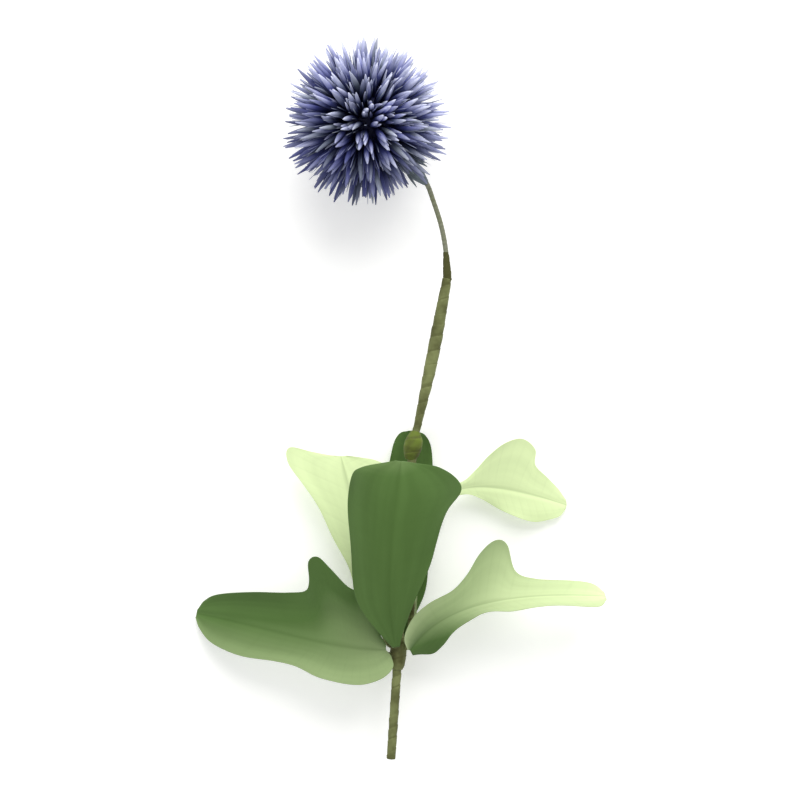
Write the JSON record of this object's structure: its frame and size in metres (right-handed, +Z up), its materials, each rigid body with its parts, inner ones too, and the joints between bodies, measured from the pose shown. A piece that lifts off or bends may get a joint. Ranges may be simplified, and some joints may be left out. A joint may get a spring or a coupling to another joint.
{
  "type": "globe thistle flower",
  "caption": "Round blue globe thistle head of pointed florets on a thin bent stem, with a taped stalk and a whorl of lobed leaves, lying on a surface.",
  "frame": {"origin": "on the surface, under the middle of the flower's bounding box", "axes": "+Y along the flower from the cut end of its stalk to its head, +Z up from the surface it lies on, +X to the right seen from above with the head away"},
  "size_m": [0.1082, 0.189, 0.0442],
  "materials": {
    "floret": "matt violet blue, paler at the tips and near black between the florets",
    "collar": "matt blue grey",
    "stem": "satin grey green wrapping on a thin wire",
    "tape": "matt olive stem tape, wound in a spiral",
    "node": "matt olive stem tape, wound thick",
    "petiole": "matt dark olive tape",
    "leaf": "soft matt green with a faint nap"
  },
  "bodies": {
    "root": {"floret_crown": "floret", "floret_ring_01": "floret", "floret_ring_02": "floret", "floret_ring_03": "floret", "floret_ring_04": "floret", "floret_ring_05": "floret", "floret_ring_06": "floret", "floret_ring_07": "floret", "floret_ring_08": "floret", "floret_ring_09": "floret", "floret_ring_10": "floret", "floret_base": "floret", "calyx_collar": "collar", "head_stem": "stem", "stem_sleeve": "tape", "stalk_upper": "tape", "stalk_node": "node", "stalk_lower": "tape", "leaf_binding": "tape", "petiole_front": "petiole", "petiole_left": "petiole", "petiole_right": "petiole", "petiole_back_left": "petiole", "petiole_back_right": "petiole", "petiole_back": "petiole", "leaf_front": "leaf", "leaf_left": "leaf", "leaf_right": "leaf", "leaf_back_left": "leaf", "leaf_back_right": "leaf", "leaf_back": "leaf"}
  },
  "joints": []
}
